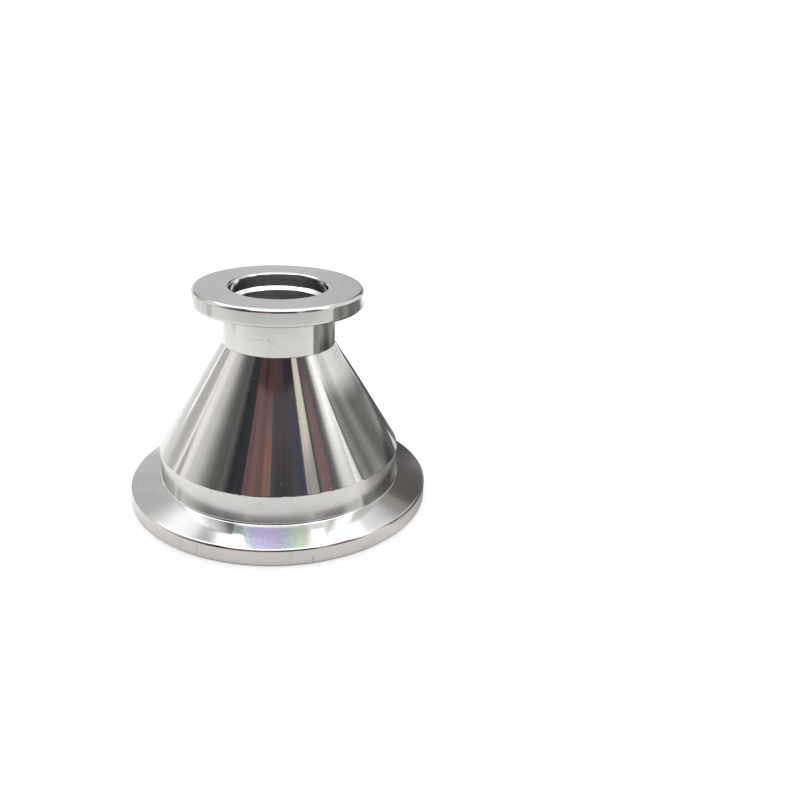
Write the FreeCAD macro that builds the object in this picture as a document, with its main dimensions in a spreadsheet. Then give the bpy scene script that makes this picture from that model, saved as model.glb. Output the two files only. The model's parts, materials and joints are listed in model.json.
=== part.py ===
# Conical vacuum reducer, turned as one piece: a wide clamp flange, a collar, a cone, a neck and a
# narrow clamp flange on one axis, with a gas passage right through.
#
# Millimetres, +Z up. The wide flange's sealing face lies on z = 0 and the axis is the Z axis, so the
# piece stands on its wide face, as it does on a bench.
import FreeCAD, Part
import Sketcher

import os
from math import cos, pi, sin

# Driving sizes, in millimetres and degrees: name, value and what it measures.
SIZES = [
    ("overall_length", "40", "from one sealing face to the other"),
    ("collar_length", "10", "from the wide sealing face to the foot of the cone"),
    ("neck_length", "10", "from the top of the cone to the narrow sealing face"),
    ("wall_thickness", "2", "of the collar, cone and neck, square to the surface"),
    ("wide_bore", "40", "diameter inside the collar"),
    ("narrow_bore", "16", "diameter inside the neck"),
    ("wide_flange", "55", "outside diameter of the wide flange"),
    ("narrow_flange", "30", "outside diameter of the narrow flange"),
    ("wide_rim", "3.2", "height of the wide flange's cylindrical rim, with its chamfer"),
    ("narrow_rim", "3", "height of the narrow flange's cylindrical rim, with its chamfer"),
    ("clamp_slope", "15", "angle of both clamping backs to the sealing faces, in degrees"),
    ("recess_step", "0.6", "how far the wall of a centring recess stands outside its bore"),
    ("recess_depth", "3", "from a sealing face down to where the bore begins"),
    ("face_chamfer", "0.4", "on the outer edge of each sealing face"),
    ("wide_mouth_chamfer", "0.4", "on the mouth of the wide recess"),
    ("narrow_mouth_chamfer", "0.3", "on the mouth of the narrow recess"),
    ("rim_chamfer", "0.2", "on the corner between a rim and its clamping back"),
    ("root_radius", "0.4", "in the corner where a clamping back meets the collar or the neck"),
    ("cone_foot_radius", "0.3", "on the corner between the collar and the cone"),
    ("cone_top_radius", "0.3", "in the corner between the cone and the neck"),
]

# Lengths worked out from those sizes, as formulas for the sketches.
AXIS = "0"
WIDE_FACE = "0"
NARROW_FACE = "Sizes.overall_length"
CONE_FOOT = "Sizes.collar_length"
CONE_TOP = f"({NARROW_FACE} - Sizes.neck_length)"
COLLAR_R = "(Sizes.wide_bore / 2 + Sizes.wall_thickness)"
NECK_R = "(Sizes.narrow_bore / 2 + Sizes.wall_thickness)"
WIDE_FLANGE_R = "Sizes.wide_flange / 2"
NARROW_FLANGE_R = "Sizes.narrow_flange / 2"
WIDE_BACK_RISE = f"({WIDE_FLANGE_R} - {COLLAR_R}) * tan(Sizes.clamp_slope)"
NARROW_BACK_RISE = f"({NARROW_FLANGE_R} - {NECK_R}) * tan(Sizes.clamp_slope)"
# The conical bore runs parallel to the cone, one wall inside it, so its corners lie this much lower.
CONE_ANGLE = f"atan(({COLLAR_R} - {NECK_R}) / ({CONE_TOP} - {CONE_FOOT}))"
BORE_CORNER_DROP = f"Sizes.wall_thickness * tan({CONE_ANGLE} / 2)"

# The two outlines of the section, corner by corner as (radius, height).
OUTSIDE = {
    "axis_at_wide_face": (AXIS, WIDE_FACE),
    "wide_face_edge": (WIDE_FLANGE_R, WIDE_FACE),
    "wide_rim_top": (WIDE_FLANGE_R, "Sizes.wide_rim"),
    "wide_root": (COLLAR_R, f"Sizes.wide_rim + {WIDE_BACK_RISE}"),
    "cone_foot": (COLLAR_R, CONE_FOOT),
    "cone_top": (NECK_R, CONE_TOP),
    "narrow_root": (NECK_R, f"{NARROW_FACE} - Sizes.narrow_rim - {NARROW_BACK_RISE}"),
    "narrow_rim_foot": (NARROW_FLANGE_R, f"{NARROW_FACE} - Sizes.narrow_rim"),
    "narrow_face_edge": (NARROW_FLANGE_R, NARROW_FACE),
    "axis_at_narrow_face": (AXIS, NARROW_FACE),
}
PASSAGE = {
    "axis_at_wide_face": (AXIS, WIDE_FACE),
    "wide_bore_mouth": ("Sizes.wide_bore / 2", WIDE_FACE),
    "conical_bore_foot": ("Sizes.wide_bore / 2", f"{CONE_FOOT} - {BORE_CORNER_DROP}"),
    "conical_bore_top": ("Sizes.narrow_bore / 2", f"{CONE_TOP} - {BORE_CORNER_DROP}"),
    "narrow_bore_mouth": ("Sizes.narrow_bore / 2", NARROW_FACE),
    "axis_at_narrow_face": (AXIS, NARROW_FACE),
}

# How near a circle's radius and height must come to the place of the edge that is looked for.
EDGE_TOLERANCE = 1e-3


def size_sheet(doc):
    """The spreadsheet of driving sizes, one row each."""
    sheet = doc.addObject("Spreadsheet::Sheet", "Sizes")
    for row, (alias, value, meaning) in enumerate(SIZES, start=1):
        sheet.set(f"A{row}", alias)
        sheet.set(f"B{row}", value)
        sheet.setAlias(f"B{row}", alias)
        sheet.set(f"C{row}", meaning)
    doc.recompute()


def place_start(sketch, line, kind, formula):
    """Sets how far a line's start lies from an axis: DistanceX gives its radius, DistanceY its height."""
    # Sketcher's own numbers for its axes, its origin and the start of a line.
    horizontal_axis, vertical_axis = -1, -2
    origin, start = 1, 1
    if formula == "0":
        axis = vertical_axis if kind == "DistanceX" else horizontal_axis
        sketch.addConstraint(Sketcher.Constraint("PointOnObject", line, start, axis))
        return
    until_bound = 1.0
    constraint = Sketcher.Constraint(kind, horizontal_axis, origin, line, start, until_bound)
    index = sketch.addConstraint(constraint)
    sketch.setExpression(f"Constraints[{index}]", formula)


def section(body, name, corners):
    """A closed outline of straight lines in the XZ plane, and where each of its corners came to lie."""
    sketch = body.newObject("Sketcher::SketchObject", name)
    plane = next(f for f in body.Origin.OriginFeatures if f.Role == "XZ_Plane")
    sketch.AttachmentSupport = [(plane, "")]
    sketch.MapMode = "FlatFace"
    count = len(corners)
    # The lines start out as an even polygon, and their sizes then pull the corners into place.
    loose = [FreeCAD.Vector(cos(2 * pi * i / count), sin(2 * pi * i / count), 0) for i in range(count)]
    for line in range(count):
        sketch.addGeometry(Part.LineSegment(loose[line], loose[(line + 1) % count]), False)
    start, end = 1, 2
    for line in range(count):
        sketch.addConstraint(Sketcher.Constraint("Coincident", line, end, (line + 1) % count, start))
    for line, (radius, height) in enumerate(corners.values()):
        place_start(sketch, line, "DistanceX", radius)
        place_start(sketch, line, "DistanceY", height)
    body.Document.recompute()
    places = {corner: sketch.Geometry[line].StartPoint for line, corner in enumerate(corners)}
    return sketch, places


def turn(body, kind, name, sketch):
    """Turns an outline about the axis: a Revolution adds metal, and a Groove must take some away."""
    before = body.Tip.Shape.Volume if body.Tip else 0.0
    feature = body.newObject(f"PartDesign::{kind}", name)
    feature.Profile = sketch
    feature.ReferenceAxis = (sketch, ["V_Axis"])
    feature.Angle = 360.0
    body.Document.recompute()
    change = feature.Shape.Volume - before
    if change == 0 or (change > 0) != (kind == "Revolution"):
        raise RuntimeError(f"{name} changed the volume by {change:.3f}")


def ease(body, kind, name, places, size):
    """A Chamfer or a Fillet on the circles that pass through the given (radius, height) places."""
    base = body.Tip
    edges = [
        f"Edge{number}"
        for number, edge in enumerate(base.Shape.Edges, start=1)
        if isinstance(edge.Curve, Part.Circle)
        and any(
            abs(edge.Curve.Radius - place.x) < EDGE_TOLERANCE
            and abs(edge.Curve.Center.z - place.y) < EDGE_TOLERANCE
            for place in places
        )
    ]
    if len(edges) != len(places):
        raise RuntimeError(f"{name} found {len(edges)} edges in place of {len(places)}")
    feature = body.newObject(f"PartDesign::{kind}", name)
    feature.Base = (base, edges)
    feature.setExpression("Size" if kind == "Chamfer" else "Radius", f"Sizes.{size}")
    body.Document.recompute()


def centring_recess(body, end, face, inwards):
    """The recess that seats a centring ring in one flange, with a 45 degree shoulder down to the bore.

    end is wide or narrow, and inwards is the sign of the way from that face into the metal.
    """
    bore = f"Sizes.{end}_bore / 2"
    wall = f"{bore} + Sizes.recess_step"
    shoulder_top = f"{face} {inwards} (Sizes.recess_depth - Sizes.recess_step)"
    shoulder_foot = f"{face} {inwards} Sizes.recess_depth"
    sketch, places = section(
        body,
        f"{end.capitalize()}RecessSection",
        {
            "axis_at_face": (AXIS, face),
            "mouth": (wall, face),
            "shoulder_top": (wall, shoulder_top),
            "shoulder_foot": (bore, shoulder_foot),
            "axis_at_foot": (AXIS, shoulder_foot),
        },
    )
    turn(body, "Groove", f"{end.capitalize()}CentringRecess", sketch)
    ease(body, "Chamfer", f"{end.capitalize()}MouthChamfer", [places["mouth"]], f"{end}_mouth_chamfer")


def reducer_body(doc):
    """The whole reducer: turned outside, bored through, recessed at both ends, and its edges eased."""
    body = doc.addObject("PartDesign::Body", "ReducerBody")
    body.Label = "reducer_body"
    outside, corner = section(body, "OutsideSection", OUTSIDE)
    turn(body, "Revolution", "TurnedOutside", outside)
    passage, _ = section(body, "PassageSection", PASSAGE)
    turn(body, "Groove", "GasPassage", passage)
    centring_recess(body, "wide", WIDE_FACE, "+")
    centring_recess(body, "narrow", NARROW_FACE, "-")
    face_edges = [corner["wide_face_edge"], corner["narrow_face_edge"]]
    rims = [corner["wide_rim_top"], corner["narrow_rim_foot"]]
    roots = [corner["wide_root"], corner["narrow_root"]]
    ease(body, "Chamfer", "FaceChamfers", face_edges, "face_chamfer")
    ease(body, "Chamfer", "RimChamfers", rims, "rim_chamfer")
    ease(body, "Fillet", "RootRadii", roots, "root_radius")
    ease(body, "Fillet", "ConeFootRadius", [corner["cone_foot"]], "cone_foot_radius")
    ease(body, "Fillet", "ConeTopRadius", [corner["cone_top"]], "cone_top_radius")
    return body


def check(doc, bodies):
    """Stops before anything is written if a feature failed or a body isn't one sound solid."""
    for thing in doc.Objects:
        if "Invalid" in thing.State or "Error" in thing.State:
            raise RuntimeError(f"{thing.Name} failed: {thing.State}")
    for body in bodies:
        shape = body.Shape
        if shape.isNull() or not shape.isValid() or len(shape.Solids) != 1:
            raise RuntimeError(f"{body.Label} is not one sound solid")


def main():
    doc = FreeCAD.newDocument("ConicalReducer")
    size_sheet(doc)
    bodies = [reducer_body(doc)]
    doc.recompute()
    check(doc, bodies)
    os.makedirs("parts", exist_ok=True)
    for body in bodies:
        body.Shape.exportStep(f"parts/{body.Label}.step")
        print(f"{body.Label}: {body.Shape.Volume:.1f} mm3, {len(body.Shape.Faces)} faces")


main()
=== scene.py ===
# Looks of a conical vacuum reducer turned from stainless steel, standing on its wide clamp flange.
# Blender units are metres; sizes named _MM are millimetres, and angles named _DEG are degrees.
# Azimuths are degrees round the turning axis: 0 faces the camera, and they grow to the camera's right.
import json
from math import atan2, cos, degrees, hypot, radians, sin

import bpy
from mathutils import Matrix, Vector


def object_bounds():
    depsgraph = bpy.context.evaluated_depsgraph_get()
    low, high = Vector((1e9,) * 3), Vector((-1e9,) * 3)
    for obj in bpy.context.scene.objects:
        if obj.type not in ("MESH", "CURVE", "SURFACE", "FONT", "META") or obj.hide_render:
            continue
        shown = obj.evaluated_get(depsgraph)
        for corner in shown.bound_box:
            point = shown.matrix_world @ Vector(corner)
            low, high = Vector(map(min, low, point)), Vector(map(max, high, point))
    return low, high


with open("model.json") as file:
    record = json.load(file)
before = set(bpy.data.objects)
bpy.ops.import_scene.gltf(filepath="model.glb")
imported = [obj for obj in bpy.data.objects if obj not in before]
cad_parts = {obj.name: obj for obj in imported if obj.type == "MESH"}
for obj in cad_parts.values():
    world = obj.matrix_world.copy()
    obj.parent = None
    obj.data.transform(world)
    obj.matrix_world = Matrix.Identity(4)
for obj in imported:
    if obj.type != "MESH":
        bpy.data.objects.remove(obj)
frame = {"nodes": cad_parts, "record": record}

cad_low, cad_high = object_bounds()

MM = 0.001
REDUCER = frame["nodes"]["reducer_body"]
MOUNTS = {mount["name"]: mount for mount in frame["record"]["mounts"]}
HEIGHT_MM = round((cad_high.z - cad_low.z) / MM, 3)
WIDE_RIM_R_MM = MOUNTS["wide_rim"]["dims"]["r_mm"]
NARROW_RIM_R_MM = MOUNTS["narrow_rim"]["dims"]["r_mm"]
WIDE_RECESS_R_MM = MOUNTS["wide_recess"]["dims"]["r_mm"]
NARROW_RECESS_R_MM = MOUNTS["narrow_recess"]["dims"]["r_mm"]
COLLAR_R_MM = 22.0
NECK_R_MM = 10.0
# How far from its sealing face each flange reaches, with its sloping back, and each recess.
FLANGE_REACH_MM = 5.0
RECESS_REACH_MM = 3.05
# Heights at which the collar ends and the neck begins, a little off the rounded ends of the cone.
COLLAR_TOP_MM = 9.95
NECK_FOOT_MM = 30.02
# Heights of both rims, and the chamfers on their corners and at the mouths of the recesses.
WIDE_RIM_MM = 3.2
NARROW_RIM_MM = 3.0
FACE_CHAMFER_MM = 0.4
RIM_CHAMFER_MM = 0.2
WIDE_MOUTH_CHAMFER_MM = 0.4
NARROW_MOUTH_CHAMFER_MM = 0.3
CLAMP_SLOPE = radians(15)

# Linear reflectance of clean stainless steel, a little warm where it was turned and neutral where it was
# lapped; of the wide rim, painted a little warmer as a painted reflection of the warm shade beside its
# foot; of marks that rubbed into the steel; of the collar, painted brighter as painted light; and of the
# recess's walls, painted much brighter and a little warm as a painted reflection.
STEEL = (0.625, 0.615, 0.60)
COOL_STEEL = (0.615, 0.615, 0.612)
PAINTED_WARM_STEEL = (0.63, 0.60, 0.58)
RUBBED_STEEL = (0.30, 0.255, 0.225)
PAINTED_BRIGHT_STEEL = (0.675, 0.664, 0.648)
PAINTED_BRIGHT_RECESS_STEEL = (0.88, 0.87, 0.86)
BORE_STEEL = (0.68, 0.67, 0.665)


class Wiring:
    """Adds nodes to one node tree and links them.

    An argument may be a plain value or another node's socket.
    """

    def __init__(self, tree):
        self.tree = tree

    def node(self, kind, inputs=None, **settings):
        made = self.tree.nodes.new(kind)
        for name, value in settings.items():
            setattr(made, name, value)
        for name, value in (inputs or {}).items():
            self.feed(made.inputs[name], value)
        return made

    def feed(self, socket, value):
        if isinstance(value, bpy.types.NodeSocket):
            self.tree.links.new(value, socket)
        else:
            socket.default_value = value

    def math(self, operation, *values, clamp=False):
        made = self.node("ShaderNodeMath", operation=operation, use_clamp=clamp)
        for socket, value in zip(made.inputs, values):
            self.feed(socket, value)
        return made.outputs[0]

    def plus(self, first, *others):
        for other in others:
            first = self.math("ADD", first, other)
        return first

    def minus(self, first, second):
        return self.math("SUBTRACT", first, second)

    def times(self, first, *others):
        for other in others:
            first = self.math("MULTIPLY", first, other)
        return first

    def vector(self, operation, *values):
        made = self.node("ShaderNodeVectorMath", operation=operation)
        for socket, value in zip(made.inputs, values):
            self.feed(socket, value)
        return made.outputs["Value" if operation in ("DOT_PRODUCT", "LENGTH") else "Vector"]

    def scaled(self, vector, factor):
        made = self.node("ShaderNodeVectorMath", {"Vector": vector, "Scale": factor}, operation="SCALE")
        return made.outputs["Vector"]

    def flattened(self, vector):
        return self.vector("MULTIPLY", vector, (1, 1, 0))

    def combined(self, x, y, z):
        return self.node("ShaderNodeCombineXYZ", {"X": x, "Y": y, "Z": z}).outputs["Vector"]

    def axes(self, vector):
        return self.node("ShaderNodeSeparateXYZ", {"Vector": vector}).outputs

    def azimuth(self, vector):
        """The azimuth of a place, or of a way from the axis."""
        axes = self.axes(vector)
        return self.times(self.math("ARCTAN2", axes["X"], self.times(axes["Y"], -1)), degrees(1))

    def place_mm(self):
        """The point that is shaded, in mm in its object's own frame."""
        return self.scaled(self.node("ShaderNodeTexCoord").outputs["Object"], 1 / MM)

    def step(self, value, low, high, to_low=0.0, to_high=1.0, kind="SMOOTHSTEP"):
        """Goes smoothly from to_low, where the value is low or less, to to_high, where it is high."""
        made = self.node("ShaderNodeMapRange", interpolation_type=kind)
        names = ("Value", "From Min", "From Max", "To Min", "To Max")
        for name, number in zip(names, (value, low, high, to_low, to_high)):
            self.feed(made.inputs[name], number)
        return made.outputs["Result"]

    def slope(self, value, low, high, to_low=0.0, to_high=1.0):
        """As step, but in a straight line from the one to the other."""
        return self.step(value, low, high, to_low, to_high, kind="LINEAR")

    def between(self, value, low, high, blur):
        """1 between low and high, and 0 outside them, with soft ends."""
        rise = self.step(value, self.minus(low, blur), self.plus(low, blur))
        fall = self.step(value, self.minus(high, blur), self.plus(high, blur), 1.0, 0.0)
        return self.times(rise, fall)

    def mix(self, factor, first, second):
        """The first colour where the factor is 0, and the second one where it is 1."""
        made = self.node("ShaderNodeMix", {"Factor": factor}, data_type="RGBA")
        first_colour, second_colour = made.inputs[6], made.inputs[7]
        mixed_colour = made.outputs[2]
        self.feed(first_colour, first)
        self.feed(second_colour, second)
        return mixed_colour

    def ramp(self, value, stops):
        made = self.node("ShaderNodeValToRGB", {"Fac": value})
        while len(made.color_ramp.elements) < len(stops):
            made.color_ramp.elements.new(1.0)
        for element, (place, colour) in zip(made.color_ramp.elements, stops):
            element.position = place
            element.color = (*colour, 1.0)
        return made.outputs["Color"]

    def noise(self, vector, scale, detail=2.0, roughness=0.5, fourth=None):
        """Soft noise from 0 to 1, by place and by a fourth coordinate where one is given."""
        inputs = {"Vector": vector, "Scale": scale, "Detail": detail, "Roughness": roughness}
        made = self.node("ShaderNodeTexNoise", inputs, noise_dimensions="3D" if fourth is None else "4D")
        if fourth is not None:
            self.feed(made.inputs["W"], fourth)
        return made.outputs["Fac"]


def group(name, inputs, outputs):
    """A shader node group with named sockets: its tree, its wiring, and its own inputs and outputs."""
    tree = bpy.data.node_groups.new(name, "ShaderNodeTree")
    for socket, (kind, value) in inputs.items():
        made = tree.interface.new_socket(socket, in_out="INPUT", socket_type=f"NodeSocket{kind}")
        if value is not None:
            made.default_value = value
    for socket, kind in outputs.items():
        tree.interface.new_socket(socket, in_out="OUTPUT", socket_type=f"NodeSocket{kind}")
    wiring = Wiring(tree)
    entry = wiring.node("NodeGroupInput")
    leave = wiring.node("NodeGroupOutput")
    return tree, wiring, entry.outputs, leave.inputs


def placed(wiring, tree, **inputs):
    """One use of a node group, with its own values. An underscore in a name stands for a space."""
    made = wiring.node("ShaderNodeGroup", node_tree=tree)
    for name, value in inputs.items():
        wiring.feed(made.inputs[name.replace("_", " ")], value)
    return made.outputs


def new_material(name):
    """A material, its wiring, and the inputs of its shader."""
    material = bpy.data.materials.new(name)
    material.use_nodes = True
    return material, Wiring(material.node_tree), material.node_tree.nodes["Principled BSDF"].inputs


# Effects that several finishes share

# How far from a corner the finishing cloth has rounded it off.
WORN_REACH_MM = 0.27


def make_lathe_place():
    """Where a point lies round the turning axis.

    It gives the radius and the height in mm, the azimuth, and the way straight outwards.
    """
    outputs = {"Radius": "Float", "Height": "Float", "Around": "Float", "Ring": "Vector"}
    tree, w, _, out = group("Lathe place", {}, outputs)
    place = w.place_mm()
    flat = w.flattened(place)
    w.feed(out["Radius"], w.vector("LENGTH", flat))
    w.feed(out["Height"], w.axes(place)["Z"])
    w.feed(out["Around"], w.azimuth(place))
    w.feed(out["Ring"], w.vector("NORMALIZE", flat))
    return tree


def make_worn_corner():
    """How far the surface tilts upwards, in degrees, near a rounded corner ring."""
    inputs = {"Radius": ("Float", 0), "Height": ("Float", 0), "Corner radius": ("Float", 0),
              "Corner height": ("Float", 0), "Tilt": ("Float", 0), "Before": ("Float", 0)}
    tree, w, given, out = group("Worn corner", inputs, {"Tilt": "Float"})
    off = w.combined(w.minus(given["Radius"], given["Corner radius"]),
                     w.minus(given["Height"], given["Corner height"]), 0)
    share = w.slope(w.vector("LENGTH", off), 0, WORN_REACH_MM, 1.0, 0.0)
    w.feed(out["Tilt"], w.plus(given["Before"], w.times(given["Tilt"], share)))
    return tree


def make_turned_normal():
    """The normal of a surface turned true about the axis, tilted upwards by a given angle."""
    inputs = {"Ring": ("Vector", None), "Tilt": ("Float", 0)}
    tree, w, given, out = group("Turned normal", inputs, {"Normal": "Vector"})
    normal = w.node("ShaderNodeNewGeometry").outputs["Normal"]
    outward = w.vector("DOT_PRODUCT", normal, given["Ring"])
    upward = w.axes(normal)["Z"]
    tilt = w.times(given["Tilt"], radians(1))
    sine = w.math("SINE", tilt)
    cosine = w.math("COSINE", tilt)
    new_outward = w.minus(w.times(outward, cosine), w.times(upward, sine))
    new_upward = w.plus(w.times(outward, sine), w.times(upward, cosine))
    sideways = w.scaled(given["Ring"], new_outward)
    tilted = w.vector("ADD", sideways, w.combined(0, 0, new_upward))
    w.feed(out["Normal"], w.vector("NORMALIZE", tilted))
    return tree


def make_turned_marks():
    """The fine rings that a lathe tool leaves, and the wider bands that they gather in.

    Both are the same all the way round, apart from a slow drift.
    """
    inputs = {"Radius": ("Float", 0), "Height": ("Float", 0), "Ring": ("Vector", None),
              "Rings per mm": ("Float", 4), "Drift": ("Float", 0.6)}
    tree, w, given, out = group("Turned marks", inputs, {"Marks": "Float", "Bands": "Float"})
    ring = w.axes(given["Ring"])
    across = w.combined(w.times(given["Radius"], given["Rings per mm"]),
                        w.times(given["Height"], given["Rings per mm"]),
                        w.times(ring["X"], given["Drift"]))
    turn = w.times(ring["Y"], given["Drift"])
    w.feed(out["Marks"], w.noise(across, 1.0, detail=3, roughness=0.6, fourth=turn))
    w.feed(out["Bands"], w.noise(across, 0.22, detail=1, fourth=turn))
    return tree


def make_smudges():
    """Faint wipe and finger marks: soft patches where the surface is a little duller."""
    inputs = {"Size mm": ("Float", 6), "Amount": ("Float", 0.5)}
    tree, w, given, out = group("Smudges", inputs, {"Mask": "Float"})
    scale = w.math("DIVIDE", 1, given["Size mm"])
    cloud = w.noise(w.place_mm(), scale, detail=4, roughness=0.55)
    w.feed(out["Mask"], w.times(w.step(cloud, 0.46, 0.68), given["Amount"]))
    return tree


def make_hairlines():
    """Hair-fine scratches from handling: short stretches of the contour lines of a cloud."""
    inputs = {"Size mm": ("Float", 5), "Width": ("Float", 0.005), "Share": ("Float", 0.5)}
    tree, w, given, out = group("Hairlines", inputs, {"Mask": "Float"})
    place = w.place_mm()
    cloud = w.noise(place, w.math("DIVIDE", 1, given["Size mm"]), detail=2)
    off_line = w.math("ABSOLUTE", w.minus(cloud, 0.5))
    line = w.minus(1, w.step(off_line, 0, given["Width"]))
    # A second cloud, read at another place, keeps only some stretches of each line.
    elsewhere = w.vector("ADD", place, (31, 17, 5))
    kept = w.noise(elsewhere, w.math("DIVIDE", 1.5, given["Size mm"]), detail=1)
    least = w.minus(0.70, w.times(given["Share"], 0.25))
    w.feed(out["Mask"], w.times(line, w.step(kept, least, w.plus(least, 0.12))))
    return tree


def make_dust():
    """Scattered specks of dust and tiny pits, a few to the square centimetre."""
    inputs = {"Spacing mm": ("Float", 1.6), "Speck mm": ("Float", 0.09), "Share": ("Float", 0.3)}
    tree, w, given, out = group("Dust", inputs, {"Mask": "Float"})
    scale = w.math("DIVIDE", 1, given["Spacing mm"])
    cells = w.node("ShaderNodeTexVoronoi", {"Vector": w.place_mm(), "Scale": scale}).outputs
    reach = w.math("DIVIDE", given["Speck mm"], given["Spacing mm"])
    speck = w.step(cells["Distance"], w.times(reach, 0.5), reach, 1.0, 0.0)
    kept = w.math("LESS_THAN", w.axes(cells["Color"])["X"], given["Share"])
    w.feed(out["Mask"], w.times(speck, kept))
    return tree


def make_scuff():
    """One short soft line on an unrolled surface, laid over the lines before it, in mm."""
    inputs = {"Place": ("Vector", None), "From": ("Vector", None), "To": ("Vector", None),
              "Width": ("Float", 0.1), "Strength": ("Float", 0.5), "Before": ("Float", 0)}
    tree, w, given, out = group("Scuff", inputs, {"Mask": "Float"})
    span = w.vector("SUBTRACT", given["To"], given["From"])
    off = w.vector("SUBTRACT", given["Place"], given["From"])
    span_squared = w.vector("DOT_PRODUCT", span, span)
    along = w.math("DIVIDE", w.vector("DOT_PRODUCT", off, span), span_squared, clamp=True)
    aside = w.vector("LENGTH", w.vector("SUBTRACT", off, w.scaled(span, along)))
    mark = w.times(w.step(aside, 0, given["Width"], 1.0, 0.0), given["Strength"])
    w.feed(out["Mask"], w.math("MAXIMUM", given["Before"], mark))
    return tree


LATHE_PLACE = make_lathe_place()
WORN_CORNER = make_worn_corner()
TURNED_NORMAL = make_turned_normal()
TURNED_MARKS = make_turned_marks()
SMUDGES = make_smudges()
HAIRLINES = make_hairlines()
DUST = make_dust()
SCUFF = make_scuff()


# Finishes of the steel, one for each way that a surface was turned

# How far the tool's rings lighten or darken the steel, and how much a smudge darkens and dulls it.
RING_SHADE = 0.10
SMUDGE_SHADE = 0.08
SMUDGE_DULLNESS = 0.07
# How much of a knock a hairline is, how much of a knock is rubbed steel, how dull it is, and how deep, in
# depths of the tool's rings.
HAIRLINE_SHARE = 0.35
KNOCK_SHADE = 0.8
KNOCK_DULLNESS = 0.15
KNOCK_DEPTH = 2.0
# How much of the metal a speck of dust covers.
SPECK_COVER = 0.6
# A quarter turn, so that reflections smear across the tool's rings.
GRAIN_TURN = 0.25


def steel(name, roughness, grain, rings, ring_depth_mm=0.0004, ring_dullness=0.05, smudge=0.3,
          smudge_mm=6.0, scratches=0.3, dust=0.2, base=STEEL, corners=(), painted_sheen=None, nicks=None):
    """Turned steel.

    grain is how much longer a reflection smears across the tool's rings than along them, and rings is how
    many there are to a mm. The argument for a painted highlight and sheen, where a finish has one, gives a
    colour that takes the place of the metal's own, and how much of it shows, and nicks gives a mask of dark
    marks, where a finish has them. corners lists the worn corners that bound the finish: the corner ring,
    and by how many degrees the surface tilts upwards there.
    """
    material, w, shader = new_material(name)
    lathe = placed(w, LATHE_PLACE)
    tilt = 0.0
    for (radius, height), tilt_deg in corners:
        corner = placed(w, WORN_CORNER, Radius=lathe["Radius"], Height=lathe["Height"],
                        Corner_radius=radius, Corner_height=height, Tilt=tilt_deg, Before=tilt)
        tilt = corner["Tilt"]
    normal = placed(w, TURNED_NORMAL, Ring=lathe["Ring"], Tilt=tilt)["Normal"]
    marks = placed(w, TURNED_MARKS, Radius=lathe["Radius"], Height=lathe["Height"], Ring=lathe["Ring"],
                   Rings_per_mm=rings)
    wiped = placed(w, SMUDGES, Size_mm=smudge_mm, Amount=smudge)["Mask"]
    scratched = placed(w, HAIRLINES, Share=scratches)["Mask"]
    speck = placed(w, DUST, Share=dust)["Mask"]
    damage = w.math("MAXIMUM", w.times(scratched, HAIRLINE_SHARE), nicks(w, lathe) if nicks else 0.0)
    from_middle = w.minus(marks["Marks"], 0.5)

    banded = w.plus(w.times(w.minus(marks["Bands"], 0.5), RING_SHADE), w.times(from_middle, RING_SHADE))
    shade = w.minus(w.plus(1.0, banded), w.times(wiped, SMUDGE_SHADE))
    colour = w.mix(w.times(damage, KNOCK_SHADE), w.scaled(base, shade), (*RUBBED_STEEL, 1.0))
    rough = w.plus(roughness, w.times(from_middle, ring_dullness), w.times(wiped, SMUDGE_DULLNESS))
    # A painted highlight and sheen takes the place of the metal's own colour, where a finish has one.
    if painted_sheen:
        painted_sheen_colour, painted_sheen_share = painted_sheen(w, lathe)
        colour = w.mix(painted_sheen_share, colour, painted_sheen_colour)
        # The fine rings scatter light that comes down on them, and mirror what only grazes them.
        grazing = w.node("ShaderNodeLayerWeight", {"Blend": 0.5}).outputs["Facing"]
        scatter = w.step(grazing, 0.5, 0.75, 0.22, 0.08)
        rough = w.plus(rough, w.times(painted_sheen_share, scatter))
    w.feed(shader["Base Color"], colour)
    w.feed(shader["Roughness"], w.math("ADD", rough, w.times(damage, KNOCK_DULLNESS), clamp=True))
    w.feed(shader["Metallic"], w.minus(1.0, w.times(speck, SPECK_COVER)))
    shader["Anisotropic"].default_value = grain
    shader["Anisotropic Rotation"].default_value = GRAIN_TURN
    tangent = w.node("ShaderNodeTangent", direction_type="RADIAL", axis="Z")
    w.feed(shader["Tangent"], tangent.outputs["Tangent"])

    depth = w.minus(marks["Marks"], w.times(damage, KNOCK_DEPTH))
    bump = w.node("ShaderNodeBump", {"Strength": 1.0, "Distance": ring_depth_mm * MM,
                                     "Height": depth, "Normal": normal})
    w.feed(shader["Normal"], bump.outputs["Normal"])
    return material


# The painted sheen on the wide back, a coloured arc painted where its fine rings split light: the
# azimuths of its borders at the collar and at the rim, its colours from the left border to the right one,
# and the azimuths between which a painted white highlight lies beside it, for the rings' gleam.
PAINTED_SHEEN_LEFT_DEG = (-17.8, -11.2)
PAINTED_SHEEN_RIGHT_DEG = (12.4, 10.2)
PAINTED_SHEEN_COLOURS = (
    (0.00, (0.30, 0.41, 0.38)), (0.05, (0.53, 0.64, 0.64)), (0.10, (0.43, 0.46, 0.55)),
    (0.20, (0.50, 0.45, 0.68)), (0.45, (0.51, 0.46, 0.69)), (0.57, (0.46, 0.49, 0.61)),
    (0.68, (0.46, 0.56, 0.54)), (0.78, (0.48, 0.60, 0.48)), (0.92, (0.50, 0.60, 0.48)),
    (0.97, (0.70, 0.66, 0.55)), (1.00, (0.76, 0.74, 0.74)))
PAINTED_GLEAM_DEG = (-19.3, 16.9)
PAINTED_GLEAM_COLOUR = (0.96, 0.98, 0.98, 1.0)
PAINTED_SHEEN_BLUR_DEG = 0.8
# The radius at which the grain of the arc has its true width, and how it is stretched along the radius.
GRAIN_R_MM = 27.0
GRAIN_STRETCH = 0.6


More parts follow.
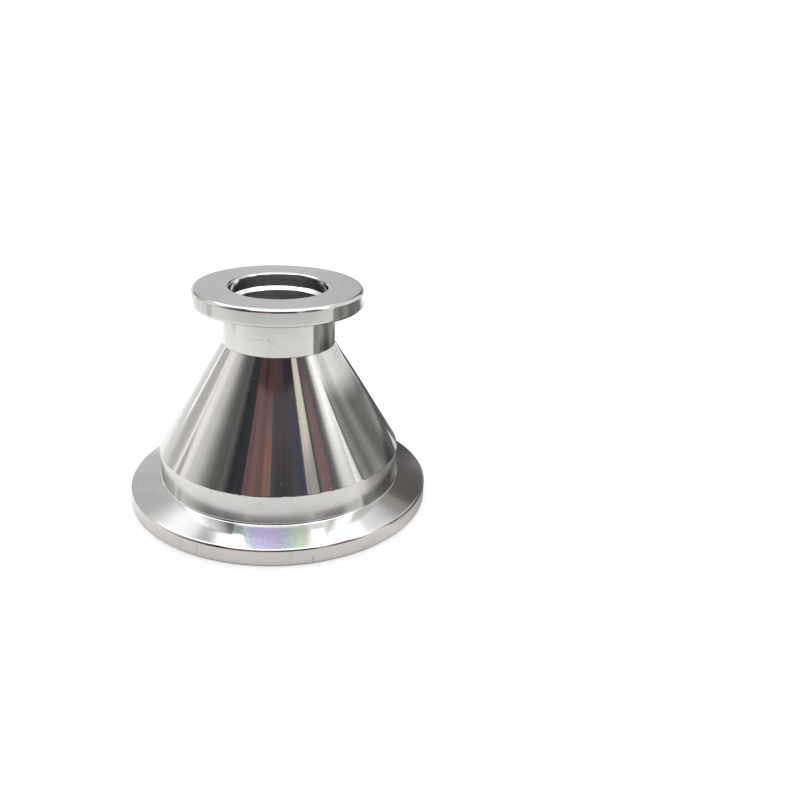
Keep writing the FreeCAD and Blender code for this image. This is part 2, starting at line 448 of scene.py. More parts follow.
def painted_rainbow_sheen(w, lathe):
    """A painted sheen where the clamp back's rings are fine enough to split light: violet, then green, in a
    short arc.

    The arc narrows and is painted brighter towards the rim, and beside it a painted white highlight stands
    in for the same rings' gleam.
    """
    around, radius = lathe["Around"], lathe["Radius"]
    left_deg = w.slope(radius, COLLAR_R_MM, WIDE_RIM_R_MM, *PAINTED_SHEEN_LEFT_DEG)
    right_deg = w.slope(radius, COLLAR_R_MM, WIDE_RIM_R_MM, *PAINTED_SHEEN_RIGHT_DEG)
    # 0 at the left border and 1 at the right one.
    across = w.slope(around, left_deg, right_deg)
    ring = w.axes(w.scaled(lathe["Ring"], GRAIN_R_MM))
    grain_place = w.combined(ring["X"], ring["Y"], w.times(radius, GRAIN_STRETCH))
    grain = w.noise(grain_place, 6.5, detail=3, roughness=0.8)
    drift = w.slope(w.noise(grain_place, 3.0, detail=3, roughness=0.8), 0.3, 0.7, -0.06, 0.06)
    colours = w.ramp(w.plus(across, drift), PAINTED_SHEEN_COLOURS)
    colours = w.scaled(colours, w.slope(grain, 0.3, 0.7, 0.66, 1.36))
    # Painted brighter towards the rim.
    colours = w.scaled(colours, w.step(radius, COLLAR_R_MM + 1.5, WIDE_RIM_R_MM - 0.8, 0.82, 1.32))
    # A painted white highlight beside the arc.
    beside = w.minus(1, w.between(around, left_deg, right_deg, PAINTED_SHEEN_BLUR_DEG))
    painted_gleam_from_r = w.step(around, -14, -10, COLLAR_R_MM + 2.1, COLLAR_R_MM + 1.3)
    painted_gleam = w.times(beside, w.step(w.minus(radius, painted_gleam_from_r), 0.0, 0.6))
    colours = w.mix(painted_gleam, colours, PAINTED_GLEAM_COLOUR)
    past_root = w.step(radius, COLLAR_R_MM + 0.45, COLLAR_R_MM + 0.75)
    whole_arc = w.between(around, *PAINTED_GLEAM_DEG, PAINTED_SHEEN_BLUR_DEG)
    return colours, w.times(whole_arc, past_root)


# Small knocks on the wide rim: azimuth, width in degrees, from and to which height in mm, and strength.
RIM_NICKS = ((10.7, 0.5, 0.4, 1.7, 0.7), (-30.4, 0.5, 0.9, 2.9, 0.3), (-28.4, 0.4, 1.2, 2.7, 0.3),
             (3.2, 2.0, 1.6, 2.9, 0.12), (57.0, 0.4, 0.5, 1.4, 0.5), (-84.0, 0.5, 0.8, 2.4, 0.5),
             (128.0, 0.5, 0.5, 2.0, 0.6), (171.0, 0.4, 1.0, 2.8, 0.5), (-141.0, 0.6, 0.6, 1.6, 0.6))
NICK_BLUR_MM = 0.3


def rim_nicks(w, lathe):
    """Short dark knocks across the rim, as a mask."""
    total = 0.0
    for azimuth, width, low, high, strength in RIM_NICKS:
        across = w.between(lathe["Around"], azimuth - width / 2, azimuth + width / 2, width / 3)
        along = w.between(lathe["Height"], low, high, NICK_BLUR_MM)
        total = w.math("MAXIMUM", total, w.times(across, along, strength))
    return total


# Faint marks left by handling: azimuth and height of each end, width in mm, and strength.
NECK_SCUFFS = ((-30, 32.7, -19, 33.3, 0.35, 0.35), (-19, 33.3, -10, 33.1, 0.25, 0.35),
               (-10, 33.0, 2, 31.9, 0.25, 0.4), (2, 31.9, 8.5, 30.7, 0.25, 0.4),
               (-10, 31.9, -4, 30.6, 0.22, 0.35), (-56, 32.4, -53, 32.1, 0.2, 0.6),
               (148, 31.2, 163, 32.9, 0.2, 0.4))
COLLAR_SCUFFS = ((-14, 8.35, -6, 8.4, 0.3, 0.3), (-13.5, 7.75, -5.6, 7.7, 0.3, 0.35),
                 (0, 8.6, 3, 8.7, 0.12, 0.5), (3, 8.7, 5.2, 9.1, 0.1, 0.55),
                 (4, 8.35, 8.6, 8.45, 0.1, 0.45), (-120, 7.0, -112, 7.4, 0.2, 0.4),
                 (100, 6.5, 108, 7.2, 0.2, 0.4))
# How far a scuff wavers to either side, in mm, and how many wavers and breaks there are to a mm.
SCUFF_SHAKE_MM = 1.4
SHAKES_PER_MM = 0.8
BREAKS_PER_MM = 1.1


def scuffs(marks, surface_r_mm):
    """A mask of broken, unsteady lines on a cylinder of the given radius."""
    per_degree = surface_r_mm * radians(1)

    def mask(w, lathe):
        place = w.node("ShaderNodeTexCoord").outputs["Object"]
        cloud = {"Vector": place, "Scale": SHAKES_PER_MM / MM, "Detail": 2}
        shake = w.vector("SUBTRACT", w.node("ShaderNodeTexNoise", cloud).outputs["Color"], (0.5, 0.5, 0.5))
        unrolled = w.combined(w.times(lathe["Around"], per_degree), lathe["Height"], 0)
        shaken = w.flattened(w.vector("ADD", unrolled, w.scaled(shake, SCUFF_SHAKE_MM)))
        total = 0.0
        for start, low, end, high, width, strength in marks:
            ends = {"From": (start * per_degree, low, 0), "To": (end * per_degree, high, 0)}
            line = placed(w, SCUFF, Place=shaken, Width=width, Strength=strength, Before=total, **ends)
            total = line["Mask"]
        broken = w.step(w.noise(place, BREAKS_PER_MM / MM, detail=3, roughness=0.7), 0.40, 0.62)
        return w.times(total, broken)
    return mask


# The reducer's corner rings, as radius and height.
WIDE_FACE_EDGE = (WIDE_RIM_R_MM - FACE_CHAMFER_MM, 0.0)
WIDE_RIM_FOOT = (WIDE_RIM_R_MM, FACE_CHAMFER_MM)
WIDE_RIM_TOP = (WIDE_RIM_R_MM, WIDE_RIM_MM - RIM_CHAMFER_MM)
WIDE_BACK_EDGE = (WIDE_RIM_R_MM - RIM_CHAMFER_MM * cos(CLAMP_SLOPE),
                  WIDE_RIM_MM + RIM_CHAMFER_MM * sin(CLAMP_SLOPE))
WIDE_MOUTH = (WIDE_RECESS_R_MM + WIDE_MOUTH_CHAMFER_MM, 0.0)
NARROW_FACE_EDGE = (NARROW_RIM_R_MM - FACE_CHAMFER_MM, HEIGHT_MM)
NARROW_RIM_TOP = (NARROW_RIM_R_MM, HEIGHT_MM - FACE_CHAMFER_MM)
NARROW_RIM_FOOT = (NARROW_RIM_R_MM, HEIGHT_MM - NARROW_RIM_MM + RIM_CHAMFER_MM)
NARROW_BACK_EDGE = (NARROW_RIM_R_MM - RIM_CHAMFER_MM * cos(CLAMP_SLOPE),
                    HEIGHT_MM - NARROW_RIM_MM - RIM_CHAMFER_MM * sin(CLAMP_SLOPE))
NARROW_MOUTH = (NARROW_RECESS_R_MM + NARROW_MOUTH_CHAMFER_MM, HEIGHT_MM)
NARROW_MOUTH_FOOT = (NARROW_RECESS_R_MM, HEIGHT_MM - NARROW_MOUTH_CHAMFER_MM)

# The worn corners beside each finish: the corner ring, and the upward tilt in degrees.
FACE_CORNERS = ((NARROW_FACE_EDGE, -18), (NARROW_MOUTH, 18), (WIDE_FACE_EDGE, 18), (WIDE_MOUTH, -18))
WIDE_RIM_CORNERS = ((WIDE_RIM_TOP, 24), (WIDE_RIM_FOOT, -20))
NARROW_RIM_CORNERS = ((NARROW_RIM_TOP, 30), (NARROW_RIM_FOOT, -15))
WIDE_BACK_CORNERS = ((WIDE_BACK_EDGE, -15),)
NARROW_BACK_CORNERS = ((NARROW_BACK_EDGE, 15),)
CHAMFER_CORNERS = ((NARROW_RIM_TOP, -20), (NARROW_FACE_EDGE, 18), (WIDE_RIM_FOOT, 20),
                   (WIDE_FACE_EDGE, -18), (NARROW_MOUTH, -18), (NARROW_MOUTH_FOOT, 18), (WIDE_RIM_TOP, -15),
                   (WIDE_BACK_EDGE, 15), (NARROW_RIM_FOOT, 15), (NARROW_BACK_EDGE, -15))

FINISHES = {
    "sealing_face": steel("Sealing face steel", roughness=0.26, grain=0.5, rings=5, ring_depth_mm=0.0001,
                          ring_dullness=0.02, smudge=0.08, smudge_mm=12, scratches=0.0, base=COOL_STEEL,
                          corners=FACE_CORNERS),
    "chamfer": steel("Chamfer steel", roughness=0.08, grain=0.3, rings=8, scratches=0.0, dust=0.0,
                     corners=CHAMFER_CORNERS),
    # The wide rim's steel is painted warmer: a painted reflection of the warm shade beside its foot.
    "wide_rim": steel("Wide rim steel", roughness=0.22, grain=0.3, rings=5, smudge=0.5, base=PAINTED_WARM_STEEL,
                      corners=WIDE_RIM_CORNERS, nicks=rim_nicks),
    "narrow_rim": steel("Narrow rim steel", roughness=0.11, grain=0.4, rings=6, scratches=0.2,
                        corners=NARROW_RIM_CORNERS),
    # The wide back has a painted sheen and a painted white highlight.
    "wide_back": steel("Wide clamp back steel", roughness=0.10, grain=0.6, rings=6, scratches=0.2,
                       base=COOL_STEEL, corners=WIDE_BACK_CORNERS, painted_sheen=painted_rainbow_sheen),
    "narrow_back": steel("Narrow clamp back steel", roughness=0.18, grain=0.6, rings=6,
                         corners=NARROW_BACK_CORNERS),
    # The collar's steel is painted brighter: painted light.
    "collar": steel("Collar steel", roughness=0.15, grain=0.9, rings=5, smudge=0.5, base=PAINTED_BRIGHT_STEEL,
                    nicks=scuffs(COLLAR_SCUFFS, COLLAR_R_MM)),
    "neck": steel("Neck steel", roughness=0.09, grain=0.4, rings=5, smudge=0.4,
                  nicks=scuffs(NECK_SCUFFS, NECK_R_MM)),
    "cone": steel("Cone steel", roughness=0.04, grain=0.5, rings=5, ring_depth_mm=0.0001,
                  ring_dullness=0.06, smudge=0.15, scratches=0.15, dust=0.6),
    # The recess's steel is painted much brighter and a little warm: a painted reflection.
    "recess": steel("Recess steel", roughness=0.12, grain=0.4, rings=6, dust=0.0, base=PAINTED_BRIGHT_RECESS_STEEL),
    "bore": steel("Bore steel", roughness=0.22, grain=0.6, rings=3, ring_depth_mm=0.001, base=BORE_STEEL),
}

# How far a face's slope may be off for it to be a sealing face, a rim, or the collar or neck beside a
# flange, the steepest slope of a chamfer, and how near a rim and a recess's wall their chamfers lie.
LEVEL_WITHIN_DEG = 5
RIM_WITHIN_DEG = 3
TUBE_WITHIN_DEG = 5
CHAMFER_WITHIN_DEG = 60
RIM_WITHIN_MM = 0.3
CHAMFER_WITHIN_MM = 0.45
WALL_WITHIN_MM = 0.01


def finish_at(radius, height, slope):
    """The finish of a face by where it lies, in mm, and by its slope.

    The slope is the angle of the face's normal above straight outwards: 0 on a rim, 90 on a face that
    looks up, -90 on one that looks down, and 180 on a bore's wall.
    """
    steepness = abs(slope)
    near_top = height > HEIGHT_MM - FLANGE_REACH_MM
    near_foot = height < FLANGE_REACH_MM
    if abs(steepness - 90) < LEVEL_WITHIN_DEG:
        return "sealing_face"
    if steepness > 90:
        if min(height, HEIGHT_MM - height) > RECESS_REACH_MM:
            return "bore"
        wall = WIDE_RECESS_R_MM if near_foot else NARROW_RECESS_R_MM
        return "chamfer" if radius > wall + WALL_WITHIN_MM else "recess"
    if near_top or near_foot:
        rim = NARROW_RIM_R_MM if near_top else WIDE_RIM_R_MM
        if steepness < RIM_WITHIN_DEG and radius > rim - RIM_WITHIN_MM:
            return "narrow_rim" if near_top else "wide_rim"
        if steepness < CHAMFER_WITHIN_DEG and radius > rim - CHAMFER_WITHIN_MM:
            return "chamfer"
        if steepness > TUBE_WITHIN_DEG:
            return "narrow_back" if near_top else "wide_back"
        return "neck" if near_top else "collar"
    if height < COLLAR_TOP_MM:
        return "collar"
    return "neck" if height > NECK_FOOT_MM else "cone"


def dress_reducer():
    """Gives every face of the reducer the finish of its zone."""
    mesh = REDUCER.data
    names = list(FINISHES)
    mesh.materials.clear()
    for name in names:
        mesh.materials.append(FINISHES[name])
    for face in mesh.polygons:
        x, y, height = face.center / MM
        radius = hypot(x, y)
        outward = (face.normal.x * x + face.normal.y * y) / radius
        slope = degrees(atan2(face.normal.z, outward))
        face.material_index = names.index(finish_at(radius, height, slope))


dress_reducer()


# The studio that the metal mirrors: a pale tent with an opening towards the camera

def make_studio_card():
    """Lays one soft-edged card over what lies behind it, by azimuth and elevation in degrees."""
    inputs = {"Behind": ("Color", None), "Card": ("Color", None), "Azimuth": ("Float", 0),
              "Elevation": ("Float", 0), "Facing": ("Float", 0), "Half width": ("Float", 0),
              "Side blur": ("Float", 1), "Middle": ("Float", 0), "Half height": ("Float", 0),
              "End blur": ("Float", 1)}
    tree, w, given, out = group("Studio card", inputs, {"Colour": "Color"})
    turned = w.math("WRAP", w.minus(given["Azimuth"], given["Facing"]), -180, 180)
    raised = w.minus(given["Elevation"], given["Middle"])
    covers = []
    for off, half, blur in ((turned, given["Half width"], given["Side blur"]),
                            (raised, given["Half height"], given["End blur"])):
        reach = w.times(blur, 0.5)
        covers.append(w.step(w.math("ABSOLUTE", off), w.minus(half, reach), w.plus(half, reach), 1.0, 0.0))
    w.feed(out["Colour"], w.mix(w.times(*covers), given["Behind"], given["Card"]))
    return tree


# Each card's name, azimuths, elevations, blur of its sides and ends, and colour as linear light.
# A later card hides an earlier one.
STUDIO_CARDS = (
    ("roof", (-180, 180), (50, 95), 1, 12, (1.5, 1.5, 1.5)),
    ("front roof", (-60, 60), (50, 78), 8, 6, (2.1, 2.1, 2.1)),
    ("front roof right", (69, 94), (46, 95), 3, 6, (3.4, 3.4, 3.4)),
    ("front roof left", (-142, -103), (43, 95), 4, 5, (2.7, 2.7, 2.7)),
    ("front roof left end", (-103, -82), (46, 64), 5, 5, (1.5, 1.5, 1.5)),
    ("front roof left shade", (-82, -68), (46, 64), 5, 5, (0.80, 0.80, 0.79)),
    ("front roof left gap", (-73, -59), (48, 61), 3, 1.5, (0.06, 0.11, 0.10)),
    ("rear wall", (150, 210), (3, 37), 6, 8, (0.685, 0.69, 0.70)),
    ("rear lamp", (153, 203), (51.5, 72), 1.2, 4, (2.7, 2.7, 2.7)),
    ("rear lamp frame", (-157, -151), (51, 58), 1.2, 2, (0.52, 0.52, 0.51)),
    ("rear left glow", (-155, -144), (42, 51), 2, 7, (1.60, 1.60, 1.58)),
    ("rear right glow", (143, 155), (43, 51), 6, 5, (1.25, 1.24, 1.22)),
    ("left rear wall", (-170, -126), (10, 37), 5, 6, (0.70, 0.70, 0.69)),
    ("left rear foot", (-172, -152), (-4, 8), 5, 6, (1.2, 1.2, 1.2)),
    ("left lower shade", (-150, -120), (7, 20), 8, 6, (0.42, 0.42, 0.41)),
    ("left lamp tube", (-135, -131.5), (-4, 8), 1.5, 5, (1.6, 1.6, 1.6)),
    ("left dim wall", (-130, -114), (2, 24), 6, 6, (0.68, 0.67, 0.66)),
    ("left slat", (-111.5, -108.5), (2, 30), 2, 8, (1.3, 1.27, 1.24)),
    ("left bright wall", (-107, -96), (11, 40), 6, 5, (1.22, 1.17, 1.12)),
    ("left gap", (-108, -102.5), (0, 12), 2, 3, (0.62, 0.61, 0.60)),
    ("rear right dark wall", (144, 166), (-10, 42), 6, 20, (0.15, 0.135, 0.13)),
    ("rear right shelf", (144, 166), (37, 40), 6, 3, (0.46, 0.42, 0.36)),
    ("rear right foot", (144, 175), (-10, 12.5), 6, 3, (0.38, 0.38, 0.38)),
    ("right wall", (78, 98), (2, 40), 1.5, 8, (0.92, 0.93, 0.90)),
    ("right wall top", (96, 124), (13, 40), 6, 8, (1.15, 1.14, 1.12)),
    ("opening", (-81, 10), (-4, 50), 30, 6, (0.15, 0.15, 0.145)),
    ("opening to the right", (0, 61), (-4, 50), 14, 6, (0.17, 0.165, 0.17)),
    ("opening shade", (-54.5, 10), (-4, 50), 8, 6, (0.045, 0.047, 0.058)),
    ("brown door", (-38, -10.5), (5, 50), 1.2, 6, (0.22, 0.135, 0.135)),
    ("door panel", (-31, -27), (5, 50), 1.5, 6, (0.26, 0.155, 0.148)),
    ("door edge", (-19, -10.5), (5, 37), 3, 4, (0.32, 0.175, 0.15)),
    ("dark corner", (-10.5, 26), (5, 50), 1.5, 6, (0.105, 0.095, 0.11)),
    ("dark corner foot", (-6, 12), (5, 35), 6, 4, (0.075, 0.072, 0.08)),
    ("blue corner", (17, 25.5), (5, 36), 5, 4, (0.085, 0.09, 0.14)),
    ("hood", (-39, 26), (39.65, 53), 1.5, 0.25, (0.105, 0.062, 0.063)),
    ("hood fold", (-26, -21), (39.65, 53), 3, 0.25, (0.06, 0.034, 0.036)),
    ("hood right", (7, 26), (39.65, 53), 5, 0.25, (0.04, 0.036, 0.052)),
    ("cream post", (25.5, 37.5), (5, 50), 1.2, 6, (0.47, 0.45, 0.42)),
    ("cream post lit", (26.5, 37), (33.5, 50), 2.5, 3, (0.94, 0.88, 0.73)),
    ("post line", (37.5, 39), (5, 50), 1, 6, (0.09, 0.075, 0.08)),
    ("red brown post", (40.5, 49.5), (5, 50), 2, 6, (0.30, 0.185, 0.185)),
    ("red brown post top", (38.5, 52), (36, 50), 2, 5, (0.14, 0.12, 0.13)),
    ("window", (63, 78), (4, 54), 14, 6, (1.02, 1.04, 1.03)),
    ("window top", (63.5, 78), (26, 54), 12, 6, (1.55, 1.57, 1.54)),
    ("window edge", (75, 78), (4, 54), 2, 6, (1.3, 1.32, 1.3)),
    ("front roof right gap", (60.5, 70.5), (48, 57.6), 2.5, 1.0, (0.17, 0.165, 0.175)),
)
# The cloth of the tent behind all the cards.
TENT_COLOUR = (0.95, 0.95, 0.94, 1.0)
# The hood's cards sag away from its middle, by degrees per square degree.
HOOD_MIDDLE_DEG = 3.0
HOOD_SAG = 0.0014
# Streaks across a bright card, as a share of its light, and the light they add to a dark one.
FOLD_SHARE = 0.16
FOLD_GLOW = 0.05
FOLD_TINT = (1.0, 0.85, 0.85)
# How far the folds lean off upright, and how fine the streaks and the glints between them are.
FOLD_LEAN = 0.06
FOLD_FINENESS = 24.0
GLINT_FINENESS = 60.0
# What lights the steel where it doesn't mirror the studio, and what the camera sees behind it.
EVEN_LIGHT = (0.9, 0.9, 0.9, 1.0)
WHITE = (1.0, 1.0, 1.0, 1.0)


def make_world():
    """The studio for the metal to mirror, an even light for all else, and white behind it all."""
    world = bpy.data.worlds.new("Studio")
    world.use_nodes = True
    bpy.context.scene.world = world
    w = Wiring(world.node_tree)
    card_group = make_studio_card()
    direction = w.node("ShaderNodeTexCoord").outputs["Generated"]
    azimuth = w.azimuth(direction)
    elevation = w.times(w.math("ARCSINE", w.axes(direction)["Z"]), degrees(1))
    from_hood = w.minus(azimuth, HOOD_MIDDLE_DEG)
    hood_elevation = w.plus(elevation, w.times(from_hood, from_hood, HOOD_SAG))
    seen = TENT_COLOUR
    for name, (left, right), (low, high), side_blur, end_blur, colour in STUDIO_CARDS:
        upward = hood_elevation if name.startswith("hood") else elevation
        card = placed(w, card_group, Behind=seen, Card=(*colour, 1.0), Azimuth=azimuth, Elevation=upward,
                      Facing=(left + right) / 2, Half_width=(right - left) / 2, Side_blur=side_blur,
                      Middle=(low + high) / 2, Half_height=(high - low) / 2, End_blur=end_blur)
        seen = card["Colour"]
    # Folds in the cards, as fine upright streaks.
    level = w.vector("NORMALIZE", w.flattened(direction))
    leaning = w.vector("ADD", level, w.vector("MULTIPLY", direction, (0, 0, FOLD_LEAN)))
    folds = w.noise(leaning, FOLD_FINENESS, detail=4, roughness=0.75)
    seen = w.scaled(seen, w.slope(folds, 0.28, 0.72, 1 - FOLD_SHARE, 1 + FOLD_SHARE))
    glints = w.step(w.noise(leaning, GLINT_FINENESS, detail=3), 0.5, 0.8, 0.0, FOLD_GLOW)
    seen = w.vector("ADD", seen, w.scaled(FOLD_TINT, glints))
    rays = w.node("ShaderNodeLightPath").outputs
    lit = w.mix(rays["Is Glossy Ray"], EVEN_LIGHT, seen)
    background = world.node_tree.nodes["Background"].inputs
    w.feed(background["Color"], w.mix(rays["Is Camera Ray"], lit, WHITE))


def add_mesh(name, points, faces, material):
    mesh = bpy.data.meshes.new(name)
    mesh.from_pydata(points, [], faces)
    mesh.materials.append(material)
    made = bpy.data.objects.new(name, mesh)
    bpy.context.scene.collection.objects.link(made)
    return made


# The table, and how strongly it shines to the camera and to the metal that mirrors it.
TABLE_HALF_M = 3.0
TABLE_COLOUR = (0.75, 0.75, 0.75, 1.0)
TABLE_CAMERA_GLOW = 0.45
TABLE_METAL_GLOW = 0.46
# Painted shade in the table's glow for the metal: how much dimmer it gets far out, how much more so in
# front, and how dim the front is anywhere.
FAR_DROP = 0.42
FAR_FRONT_DROP = 0.58
FRONT_DROP = 0.4
# A painted shadow in that glow: how much of its light is left right beside the reducer's foot.
FOOT_LIGHT = 0.22
# Dark strips that lie far out at the left: middle and half width in degrees, and strength.
TABLE_STRIPS = ((-97.7, 4.2, 1.0), (-104.3, 0.9, 0.5), (-111.7, 1.4, 0.6), (-123.6, 1.8, 0.5))


def table_light(w):
    """How brightly the metal mirrors each point of the table, with painted shade and painted light in its
    glow.
    """
    place = placed(w, LATHE_PLACE)
    distance, azimuth = place["Radius"], place["Around"]
    front = w.step(w.times(w.axes(place["Ring"])["Y"], -1), 0.1, 1.0)
    # Painted shade: the glow dims far out, most of all in front, and is dimmer in front anywhere.
    far = w.times(w.step(distance, 105, 150), w.plus(FAR_DROP, w.times(front, FAR_FRONT_DROP)))
    dimmed = w.times(w.minus(1, far), w.minus(1, w.times(front, FRONT_DROP)))
    # A painted shadow right beside the reducer's foot.
    painted_foot_shadow = w.step(distance, WIDE_RIM_R_MM - 0.3, WIDE_RIM_R_MM + 0.9, FOOT_LIGHT, 1.0)
    streaks = w.slope(w.noise(place["Ring"], 22.0, detail=3, roughness=0.7), 0.3, 0.7, 0.6, 1.25)
    for middle, half_deg, strength in TABLE_STRIPS:
        off = w.math("ABSOLUTE", w.minus(azimuth, middle))
        streaks = w.times(streaks, w.step(off, half_deg * 0.7, half_deg * 1.4, 1 - strength, 1.0))
    # Painted light: the glow is raised on both sides behind, where the lamps behind would light the table
    # up.
    lit = w.math("MAXIMUM", w.step(azimuth, 128, 152), w.step(azimuth, -165, -128, 0.6, 0.0))
    lit = w.times(lit, w.step(distance, 143, 152, 1.6, 0.0))
    streaks = w.times(streaks, w.plus(lit, 1))
    streaked = w.mix(w.step(distance, 98, 122), WHITE, streaks)
    return w.times(dimmed, painted_foot_shadow, streaked, TABLE_METAL_GLOW)


def make_floor():
    """A large pale table. It shows white to the camera wherever the object leaves it unshadowed."""
    material, w, shader = new_material("Pale table")
    shader["Base Color"].default_value = TABLE_COLOUR
    shader["Roughness"].default_value = 0.9
    shader["Specular IOR Level"].default_value = 0.0
    shader["Emission Color"].default_value = WHITE
    rays = w.node("ShaderNodeLightPath").outputs
    to_camera = w.times(rays["Is Camera Ray"], TABLE_CAMERA_GLOW)
    to_metal = w.times(rays["Is Glossy Ray"], table_light(w))
    w.feed(shader["Emission Strength"], w.plus(to_camera, to_metal))
    half = TABLE_HALF_M
    corners = [(-half, -half, 0), (half, -half, 0), (half, half, 0), (-half, half, 0)]
    add_mesh("floor", corners, [(0, 1, 2, 3)], material)


def glow(name, colour_of):
    """A card's material: it shines by itself, in the colour and with the alpha that colour_of makes.

    colour_of gets the wiring, and where the point lies round the axis.
    """
    material, w, shader = new_material(name)
    shader["Base Color"].default_value = (0, 0, 0, 1)
    shader["Specular IOR Level"].default_value = 0.0
    shader["Emission Strength"].default_value = 1.0
    colour, alpha = colour_of(w, placed(w, LATHE_PLACE))
    w.feed(shader["Emission Color"], colour)
    w.feed(shader["Alpha"], alpha)
    return material


def add_metal_card(name, azimuths, first_edge, second_edge, material):
    """A strip round the axis that only reflections show, and that takes no light from the table.

    Each edge is given by its radius and its height, in mm.
    """
    start, end = azimuths
    steps = 40
    points = []
    for i in range(steps + 1):
        turn = radians(start + (end - start) * i / steps)
        for radius_mm, height_mm in (first_edge, second_edge):
            radius = radius_mm * MM
            points.append((radius * sin(turn), -radius * cos(turn), height_mm * MM))
    faces = [(2 * i, 2 * i + 2, 2 * i + 3, 2 * i + 1) for i in range(steps)]
    card = add_mesh(name, points, faces, material)
    card.visible_camera = False
    card.visible_diffuse = False
    card.visible_shadow = False
    card.visible_transmission = False


# The grey panels of the screen at the right: azimuth and grey level of each, from its camera end to its
# far end, near its foot and near its top. The same for the painted shadow on the table below it, a grey
# sheet that only the metal sees, near the reducer and further out.
SCREEN_LOW_PANELS = ((67, 0.30), (76, 0.35), (82, 0.50), (90, 0.37), (99, 0.20), (106, 0.18), (117, 0.38),
                     (130, 0.36), (135, 0.28), (141, 0.13), (152, 0.07), (160, 0.08), (165, 0.18))
SCREEN_HIGH_PANELS = ((67, 0.24), (71, 0.40), (78, 0.22), (88, 0.39), (97, 0.21), (111, 0.24), (120, 0.25),
                      (125, 0.19), (136, 0.17), (140, 0.24), (143, 0.12), (152, 0.09), (165, 0.25))
PAINTED_SHADOW_NEAR_PANELS = ((48, 1.0), (57, 0.79), (68, 0.63), (78, 0.47), (165, 0.45))
PAINTED_SHADOW_FAR_PANELS = ((48, 1.1), (60, 0.93), (67, 0.52), (82, 0.30), (130, 0.26), (145, 0.16), (190, 0.16))
# A panel's grey is a little warm.
PANEL_GREEN = 0.98
PANEL_BLUE = 0.96
# Holes in the screen: from and to which azimuth and height, and how open each is.
SCREEN_HOLES = ((118.5, 130.8, -3, 4.6, 0.65), (136.8, 139.6, 15, 20, 0.7))
SCREEN_R_MM = 60.0
SCREEN_MESH_TOP_MM = 58.0
# Where the painted shadow on the table begins, and how far above the table it lies.
PAINTED_SHADOW_INNER_R_MM = 27.6
PAINTED_SHADOW_ABOVE_TABLE_MM = 0.05


def panel_span(panels):
    """The azimuths at which a row of panels begins and ends."""
    return panels[0][0], panels[-1][0]


def panel_shades(w, azimuth, panels):
    """The colour of a row of panels, each one blending into the next."""
    first, last = panel_span(panels)
    stops = []
    for panel_azimuth, grey in panels:
        place = (panel_azimuth - first) / (last - first)
        stops.append((place, (grey, grey * PANEL_GREEN, grey * PANEL_BLUE)))
    return w.ramp(w.slope(azimuth, first, last), stops)


def screen_look(w, place):
    """The screen's panels, shaded along its foot, and its outline: it slopes down to a taller far part."""
    azimuth, height = place["Around"], place["Height"]
    low = panel_shades(w, azimuth, SCREEN_LOW_PANELS)
    high = panel_shades(w, azimuth, SCREEN_HIGH_PANELS)
    colour = w.mix(w.step(height, 15, 23), low, high)
    above_foot = w.minus(height, w.step(azimuth, 110, 124, 12.0, 9.5))
    foot = w.times(w.between(azimuth, 80, 138, 4), w.step(above_foot, 0, 4, 0.58, 0.0))
    colour = w.scaled(colour, w.minus(1, foot))
    top = w.minus(w.slope(azimuth, 67, 145, 51.5, 16.5), w.step(azimuth, 152, 156, 0.0, 10.0))
    sloping_part = w.step(w.minus(height, top), -5, 5, 1.0, 0.0)
    far_part = w.times(w.between(azimuth, 141, 153, 1.5), w.step(height, 20.5, 23, 1.0, 0.0))
    solid = w.math("MAXIMUM", sloping_part, far_part)
    for left, right, bottom, ceiling, share in SCREEN_HOLES:
        hole = w.times(w.between(azimuth, left, right, 1), w.between(height, bottom, ceiling, 1))
        solid = w.times(solid, w.minus(1, w.times(hole, share)))
    return colour, solid


def painted_shadow_look(w, place):
    """The painted shadow's greys, painted a little darker still right beside the reducer."""
    azimuth, distance = place["Around"], place["Radius"]
    # Painted shade right beside the reducer.
    painted_contact_shade = w.step(distance, PAINTED_SHADOW_INNER_R_MM, PAINTED_SHADOW_INNER_R_MM + 1.2, 0.85, 1.0)
    near = w.scaled(panel_shades(w, azimuth, PAINTED_SHADOW_NEAR_PANELS), painted_contact_shade)
    far = panel_shades(w, azimuth, PAINTED_SHADOW_FAR_PANELS)
    return w.mix(w.step(distance, 30.5, 33.5), near, far), 1.0


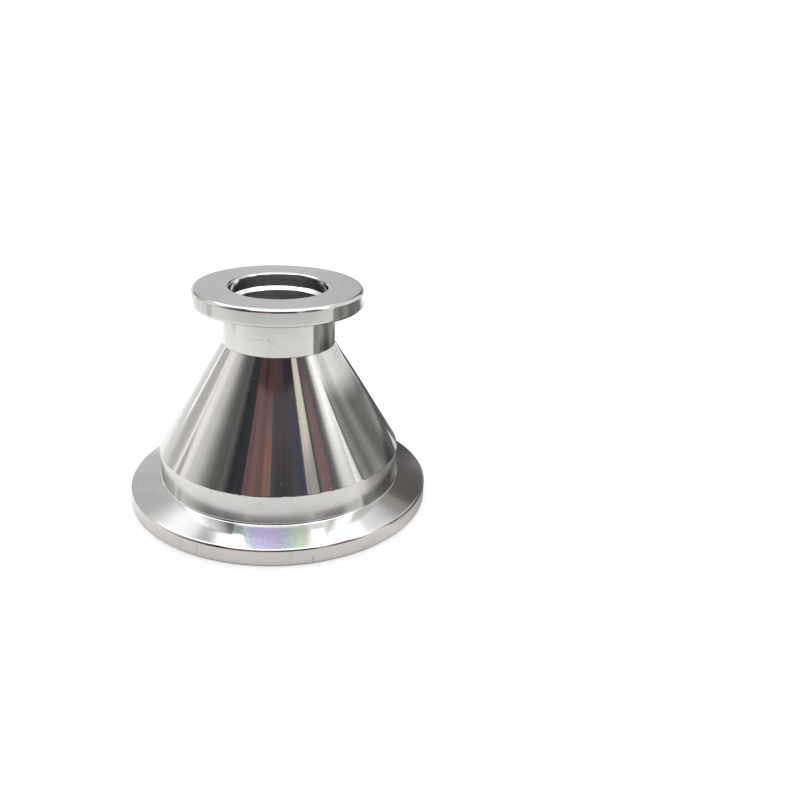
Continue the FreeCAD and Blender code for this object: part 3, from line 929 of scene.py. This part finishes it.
def make_side_screen():
    """A curved grey screen at the right, and a grey sheet on the table below it that is a painted shadow.
    """
    add_metal_card("side_screen", panel_span(SCREEN_LOW_PANELS), (SCREEN_R_MM, 0),
                   (SCREEN_R_MM, SCREEN_MESH_TOP_MM), glow("Side screen", screen_look))
    # A grey sheet on the table that is a painted shadow, seen only in the metal.
    add_metal_card("screen_foot", panel_span(PAINTED_SHADOW_FAR_PANELS), (PAINTED_SHADOW_INNER_R_MM, PAINTED_SHADOW_ABOVE_TABLE_MM),
                   (SCREEN_R_MM, PAINTED_SHADOW_ABOVE_TABLE_MM), glow("Screen foot", painted_shadow_look))


def make_softbox():
    """One large soft lamp high behind the object. The metal mirrors the studio's rear lamp in its place."""
    light = bpy.data.lights.new("softbox", "AREA")
    light.shape = "RECTANGLE"
    light.size = 0.5
    light.size_y = 0.3
    light.energy = 0.6
    lamp = bpy.data.objects.new("softbox", light)
    lamp.location = (0, 0.35, 0.55)
    lamp.rotation_euler = (radians(-32), 0, 0)
    lamp.visible_glossy = False
    bpy.context.scene.collection.objects.link(lamp)


# The camera as it stood for the photograph, worked out from the reducer's rings

CAMERA_BACK_MM = 146.05
CAMERA_HEIGHT_MM = 79.52
CAMERA_TURN_DEG = 8.74
CAMERA_TILT_DEG = 22.64
CAMERA_ROLL_DEG = -2.69
LENS_MM = 38.106
SENSOR_MM = 36.0


def make_camera():
    data = bpy.data.cameras.new("camera")
    data.lens = LENS_MM
    data.sensor_width = SENSOR_MM
    data.clip_start = 1 * MM
    camera = bpy.data.objects.new("camera", data)
    place = Matrix.Translation((0, -CAMERA_BACK_MM * MM, CAMERA_HEIGHT_MM * MM))
    turn = Matrix.Rotation(-radians(CAMERA_TURN_DEG), 4, "Z")
    tilt = Matrix.Rotation(radians(90 - CAMERA_TILT_DEG), 4, "X")
    roll = Matrix.Rotation(-radians(CAMERA_ROLL_DEG), 4, "Z")
    camera.matrix_world = place @ turn @ tilt @ roll
    bpy.context.scene.collection.objects.link(camera)
    bpy.context.scene.camera = camera


make_world()
make_floor()
make_side_screen()
make_softbox()
make_camera()
bpy.context.scene.view_settings.view_transform = "Standard"
